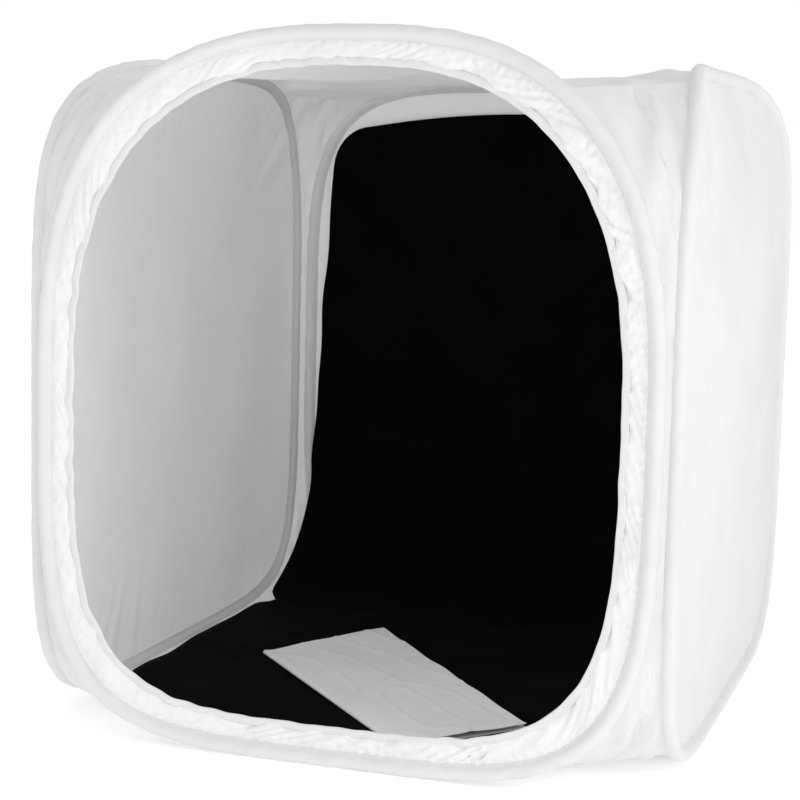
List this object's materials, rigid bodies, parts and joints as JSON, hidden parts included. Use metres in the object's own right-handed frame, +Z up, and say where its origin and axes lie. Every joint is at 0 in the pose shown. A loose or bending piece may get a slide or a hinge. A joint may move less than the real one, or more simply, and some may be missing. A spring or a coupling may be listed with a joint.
{
  "type": "light tent",
  "caption": "Collapsible pop-up light tent: a soft white cube on spring-steel hoops, open in front, with a black sweep backdrop inside.",
  "frame": {"origin": "centre of the footprint, on the surface that the tent stands on", "axes": "+Z up; the open front faces -Y; +X is to the right of someone who looks into the opening"},
  "size_m": [0.573, 0.633, 0.6],
  "materials": {
    "white_fabric": "woven polyester",
    "white_diffuser": "translucent diffusing nylon",
    "white_binding": "ribbed binding tape",
    "white_tape": "seam tape",
    "hook_tape": "nylon hook tape",
    "loop_tape": "nylon loop tape",
    "black_fabric": "matte black velvet",
    "white_cloth": "plain white cloth",
    "spring_steel": "tempered flat spring steel",
    "zinc_ferrule": "crimped sleeve"
  },
  "bodies": {
    "front": {"front_hoop_band": "spring_steel", "front_hoop_ferrule": "zinc_ferrule", "front_hoop_casing": "white_binding", "front_border": "white_fabric", "opening_hem": "white_binding", "front_left_seam_tape": "white_tape", "front_right_seam_tape": "white_tape", "front_left_top_gusset": "white_diffuser", "front_left_floor_gusset": "white_diffuser", "front_right_top_gusset": "white_diffuser", "front_right_floor_gusset": "white_diffuser", "floor_panel": "white_fabric"},
    "right": {"right_hoop_band": "spring_steel", "right_hoop_ferrule": "zinc_ferrule", "right_hoop_casing": "white_binding", "right_wall": "white_diffuser"},
    "back": {"back_hoop_band": "spring_steel", "back_hoop_ferrule": "zinc_ferrule", "back_hoop_casing": "white_binding", "back_wall": "white_diffuser", "back_left_seam_tape": "white_tape", "back_right_seam_tape": "white_tape", "back_left_top_gusset": "white_diffuser", "back_left_floor_gusset": "white_diffuser", "back_right_top_gusset": "white_diffuser", "back_right_floor_gusset": "white_diffuser", "hook_tape": "hook_tape", "backdrop_loop_tape": "loop_tape", "backdrop_sweep": "black_fabric"},
    "left": {"left_hoop_band": "spring_steel", "left_hoop_ferrule": "zinc_ferrule", "left_hoop_casing": "white_binding", "left_wall": "white_diffuser"},
    "insert": {"white_insert_cloth": "white_cloth"},
    "top": {"top_panel": "white_diffuser"}
  },
  "joints": [
    {"name": "fold_left", "type": "hinge", "parent": "front", "child": "left", "pos_m": [-0.26723, -0.30323, 0], "axis": [0, 0, -1], "range_deg": [0, 70], "stiffness_Nm_per_rad": 0.6, "deforming": ["front_left_top_gusset", "front_left_floor_gusset", "front_right_top_gusset", "front_right_floor_gusset", "back_left_top_gusset", "back_left_floor_gusset", "back_right_top_gusset", "back_right_floor_gusset", "top_panel", "floor_panel", "backdrop_sweep", "white_insert_cloth"]},
    {"name": "fold_right", "type": "hinge", "parent": "front", "child": "right", "pos_m": [0.26723, -0.30323, 0], "axis": [0, 0, -1], "range_deg": [0, 70], "deforming": ["front_right_top_gusset", "front_right_floor_gusset"]},
    {"name": "fold_back", "type": "hinge", "parent": "left", "child": "back", "pos_m": [-0.26723, 0.30323, 0], "axis": [0, 0, 1], "range_deg": [0, 70], "deforming": ["back_left_top_gusset", "back_left_floor_gusset", "back_right_top_gusset", "back_right_floor_gusset"]},
    {"name": "top_turn", "type": "hinge", "parent": "front", "child": "top", "pos_m": [0, -0.30323, 0], "axis": [0, 0, -1], "range_deg": [0, 35], "deforming": ["top_panel"]},
    {"name": "insert_lift_out", "type": "slide", "parent": "front", "child": "insert", "axis": [0, -0.7001, 0.7141], "range_m": [0, 0.7]}
  ],
  "couplings": [
    {"joint": "fold_right", "follows": "fold_left", "ratio": 1},
    {"joint": "fold_back", "follows": "fold_left", "ratio": 1},
    {"joint": "top_turn", "follows": "fold_left", "ratio": 0.5}
  ]
}
